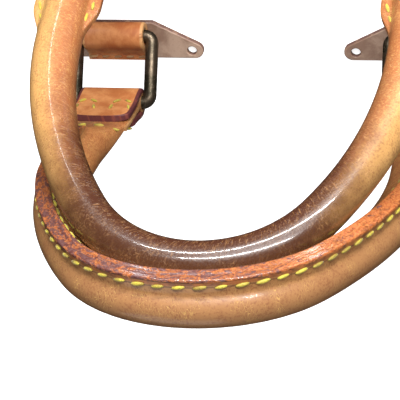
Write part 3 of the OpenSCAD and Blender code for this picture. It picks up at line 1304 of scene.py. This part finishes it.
@dataclass(frozen=True)
class Anchor:
    """A base patch with its strap loop and thread, built with the loop's axis over X."""

    length: float = 58 * MM
    thickness: float = 2.2 * MM
    inner: float = -2.5 * MM
    outer: float = 11.5 * MM
    shoulder: float = 12 * MM
    tip_r: float = 3 * MM
    hole_r: float = 1.6 * MM
    hole_pitch: float = 50 * MM
    axis_z: float = 7 * MM

    def outline(self) -> np.ndarray:
        """Draws the patch's outline.

        Returns:
            The outline's points, anticlockwise.
        """
        tip_x, tip_y = self.length / 2 - self.tip_r, self.outer - self.tip_r
        right = [(tip_x + self.tip_r * math.cos(a), tip_y + self.tip_r * math.sin(a))
                 for a in np.radians(np.linspace(-65, 90, 12))]
        left = [(-x, y) for x, y in reversed(right)]
        low = [(-self.shoulder, self.inner), (self.shoulder, self.inner)]
        return np.array(right + left + low)

    def patch(self, name: str, material: bpy.types.Material, place: Matrix) -> bpy.types.Object:
        """Cuts the patch, with rounded edges and its two holes.

        Args:
            name: The piece's name.
            material: Its finish.
            place: Where it goes.

        Returns:
            The patch.
        """
        bevel = 0.45 * MM
        curve = bpy.data.curves.new(name + "_cut", "CURVE")
        curve.dimensions = "2D"
        curve.fill_mode = "BOTH"
        curve.extrude = self.thickness / 2 - bevel
        curve.bevel_depth = bevel
        curve.bevel_resolution = 3
        curve.offset = -bevel
        turn = np.linspace(0, 2 * math.pi, 28, endpoint=False)
        holes = [np.stack([s * self.hole_pitch / 2 + self.hole_r * np.cos(turn),
                           self.outer - self.tip_r - self.hole_r * np.sin(turn)], -1)
                 for s in (-1, 1)]
        for loop in (self.outline(), *holes):
            spline = curve.splines.new("POLY")
            spline.points.add(len(loop) - 1)
            flat = np.concatenate([loop, np.zeros((len(loop), 1)), np.ones((len(loop), 1))], 1)
            spline.points.foreach_set("co", flat.ravel())
            spline.use_cyclic_u = True
        cut = add(name + "_cut", curve)
        shown = cut.evaluated_get(bpy.context.evaluated_depsgraph_get())
        mesh = bpy.data.meshes.new_from_object(shown)
        bpy.data.objects.remove(cut)
        mesh.name = name
        heights = np.zeros(len(mesh.vertices) * 3)
        mesh.vertices.foreach_get("co", heights)
        z = heights.reshape(-1, 3)[:, 2]
        layer = mesh.attributes.new("rim", "FLOAT", "POINT")
        on_rim = np.abs(z) < self.thickness / 2 - 0.2 * MM
        layer.data.foreach_set("value", on_rim.astype(np.float32))
        mesh.transform(place @ Matrix.Translation((0, 0, self.thickness / 2)))
        mesh.materials.clear()
        mesh.materials.append(material)
        return add(name, mesh)

    def build(self, row: Row, side: Side, dressing: Dressing, place: Matrix) -> None:
        """Builds one patch, its strap loop and their thread.

        Args:
            row: The handle that it serves.
            side: The end that it serves.
            dressing: The finishes.
            place: Where it goes.
        """
        name = f"{row.value}_{side.value}"
        patch = self.patch(f"{name}_base_patch", dressing.base, place)
        settle(patch, "base", Finish.BASE, f"{name}_base")
        fold = FoldedStrap(thickness=2.2 * MM, bend=3.7 * MM, upper_length=9.6 * MM,
                           lower_length=9.6 * MM, upper_rest=-1.45 * MM, lower_rest=-3.7 * MM,
                           settle=8.0 * MM, rounding=0)
        loop = fold.sheet().build(f"{name}_strap_loop", dressing.strap,
                                  place @ Matrix.Translation((0, 0, self.axis_z)))
        settle(loop, "base", Finish.STRAP, f"{name}_strap")
        x = np.linspace(-8.6, 8.6, 30) * MM
        top = self.axis_z + fold.upper_rest + fold.thickness / 2 + 0.15 * MM
        row_path = (np.stack([x, np.full_like(x, 8.2 * MM), np.full_like(x, top)], -1),
                    np.tile([0.0, 0.0, 1.0], (len(x), 1)))
        stitch = Stitching(pitch=3.8 * MM, length=2.9 * MM, thickness=0.9 * MM, slant=5)
        threads = stitch.sew(f"{name}_strap_stitches", [row_path], dressing.pale_thread, place)
        settle(threads, "base", Finish.THREAD, f"{name}_strap_thread")


# ---------------------------------------------------------------- stage


@dataclass(frozen=True)
class Studio:
    """Floor, light and camera."""

    azimuth: float = math.radians(-18.572)
    elevation: float = math.radians(52.276)
    roll: float = math.radians(196.59)
    distance: float = 0.53057
    focal: float = 1720.7 / 400                          # in picture widths
    aim: Vector = field(default_factory=lambda: Vector((0.012407, 0.027916, -0.066699)))

    def floor(self) -> None:
        """Lays the floor under the base patches."""
        bpy.ops.mesh.primitive_circle_add(vertices=96, radius=1.6, fill_type="NGON",
                                          location=(0, 0, -0.0001))
        floor = bpy.context.object
        floor.name = "studio_floor"
        floor.data.materials.append(studio_white())
        floor.visible_glossy = False
        floor.visible_diffuse = False

    def camera(self, crown: Vector) -> None:
        """Places the camera.

        Args:
            crown: The middle of the front handle's crown, which the aim is measured from.
        """
        a, e, r = self.azimuth, self.elevation, self.roll
        back = Vector((math.sin(a) * math.cos(e), -math.cos(a) * math.cos(e), math.sin(e)))
        level = Vector((math.cos(a), math.sin(a), 0))
        rise = back.cross(level)
        right = math.cos(r) * level + math.sin(r) * rise
        up = -math.sin(r) * level + math.cos(r) * rise
        data = bpy.data.cameras.new("camera")
        data.sensor_width = 36
        data.lens = self.focal * data.sensor_width
        data.clip_start = 0.01
        camera = add("camera", data)
        turn = Matrix((right, up, back)).transposed().to_4x4()
        camera.matrix_world = Matrix.Translation(crown + self.aim + self.distance * back) @ turn
        bpy.context.scene.camera = camera

    def light(self, name: str, where: tuple[float, float, float], size: tuple[float, float],
              power: float, target: Vector, diffuse: float = 1.0) -> None:
        """Adds one soft light.

        Args:
            name: Its name.
            where: Its place.
            size: Its width and height.
            power: Its power in watts.
            target: What it points at.
            diffuse: How much it lights besides its gleam.
        """
        data = bpy.data.lights.new(name, "AREA")
        data.diffuse_factor = diffuse
        data.shape = "RECTANGLE"
        data.size, data.size_y = size
        data.energy = power
        lamp = add(name, data)
        lamp.location = where
        lamp.rotation_euler = (target - Vector(where)).to_track_quat("-Z", "Y").to_euler()
        lamp.visible_camera = False

    def low_strip(self, name: str, near: tuple[float, float], far: tuple[float, float],
                  width: float, power: float) -> None:
        """Lays a narrow light near the floor that gleams along a leg.

        Args:
            name: Its name.
            near: Its end by the leg.
            far: Its other end.
            width: Its width.
            power: Its power in watts.
        """
        start, end = Vector((*near, 0.006)), Vector((*far, 0.006))
        along = (end - start).normalized()
        up = Vector((0, 0, 1))
        middle = (start + end) / 2
        self.light(name, tuple(middle), ((end - start).length, width), power, middle + up, 0.0)
        turn = Matrix((along, along.cross(up), -up)).transposed()
        bpy.data.objects[name].rotation_euler = turn.to_euler()

    def build(self, crown: Vector) -> None:
        """Sets the whole stage.

        Args:
            crown: The middle of the front handle's crown.
        """
        self.floor()
        self.camera(crown)
        target = Vector((0, 0, 0.11))
        self.light("front_softbox", (-0.25, -0.9, 0.55), (0.9, 0.5), 2.6, target)
        self.light("rear_softbox", (0.3, 0.9, 0.8), (1.0, 0.7), 1.7, target)
        gleams = (
            ("level", (-0.045, -0.50, 0.137), (0.5, 0.008), 3.4, (0, 0, 0.145)),
            ("raised", (-0.09, -0.465, 0.415), (0.5, 0.008), 3.4, (0, 0, 0.145)),
        )
        for name, where, size, power, aim in gleams:
            self.light(f"strip_{name}", where, size, power, Vector(aim), 0.02)
        feet = (
            ("right_outer", (0.077, -0.126), (0.125, -0.30), 0.007, 0.10),
            ("right_inner", (-0.039, -0.092), (-0.13, -0.16), 0.006, 0.08),
            ("left_outer", (-0.077, -0.126), (-0.125, -0.30), 0.007, 0.08),
        )
        for name, near, far, width, power in feet:
            self.low_strip(f"strip_{name}", near, far, width, power)
        scene = bpy.context.scene
        scene.world = bpy.data.worlds.new("studio_air")
        scene.world.use_nodes = True
        scene.world.node_tree.nodes["Background"].inputs[0].default_value = (1, 1, 1, 1)
        scene.world.node_tree.nodes["Background"].inputs[1].default_value = 0.42
        scene.world.cycles_visibility.glossy = False
        scene.view_settings.view_transform = "Standard"


# ---------------------------------------------------------------- assembly


def handle_place(row: Row, bar: Vector, lean: float) -> Matrix:
    """Gives the place of a handle built flat with its ring bar on the X axis.

    Args:
        row: Which handle.
        bar: A point on its ring bar.
        lean: Its lean towards the middle, in radians.

    Returns:
        The place.
    """
    turned = Matrix.Rotation(math.pi, 4, "Z") if row is Row.FRONT else Matrix.Identity(4)
    raised = Matrix.Rotation(math.pi / 2 + lean, 4, "X")
    return Matrix.Translation((0, bar.y, bar.z)) @ turned @ raised


def joint_point(frame: dict, name: str) -> Vector:
    """Gives a point on a joint's axis.

    Args:
        frame: The loaded frame.
        name: The joint's name.

    Returns:
        The point.
    """
    return Vector(next(j["pos_m"] for j in frame["joints"] if j["name"] == name))


def lean_of(row: Row, arch: Arch, bar: Vector) -> float:
    """Works out a handle's lean from where its core's top lies.

    Args:
        row: Which handle.
        arch: Its outline.
        bar: A point on its ring bar.

    Returns:
        The lean in radians.
    """
    core_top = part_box(f"{row.value}_core")[1].z
    rise = core_top - CORE_RADIUS - bar.z
    return math.acos(min(1.0, rise / arch.height))


def main() -> None:
    """Builds every piece round the frame."""
    logging.basicConfig(level=logging.INFO, format="%(name)s: %(message)s")
    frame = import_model()
    dressing = Dressing()
    arch = Arch()
    shapes = {
        Row.FRONT: RollShape(ridge_twist=math.radians(-8)),
        Row.REAR: RollShape(ridge_twist=math.radians(17), flange_width=0, bulge_start=44 * MM,
                            bulge_end=18 * MM),
    }
    anchor, ring = Anchor(), Ring()
    crowns = {}
    for row in Row:
        bar = joint_point(frame, f"{row.value}_handle_swing")
        place = handle_place(row, bar, lean_of(row, arch, bar))
        crowns[row] = place @ Vector((0, arch.height, 0))
        Handle(row, dressing, arch, shapes[row], place).build()
        for side in Side:
            pivot = joint_point(frame, f"{row.value}_{side.value}_ring_swing")
            turned = Matrix.Rotation(math.pi, 4, "Z") if row is Row.FRONT else Matrix.Identity(4)
            stand = Matrix.Translation((pivot.x, pivot.y, 0)) @ turned
            anchor.build(row, side, dressing, stand)
            tilt = math.atan2(bar.z - pivot.z, abs(bar.y - pivot.y))
            ring_place = Matrix.Translation((0, 0, pivot.z)) @ Matrix.Rotation(tilt, 4, "X")
            name = f"{row.value}_{side.value}_ring"
            piece = ring.sheet().build(f"{name}_bar", dressing.ring, stand @ ring_place)
            settle(piece, name, Finish.RING, name)
    Studio().build(crowns[Row.FRONT])


if __name__ == "__main__":
    main()
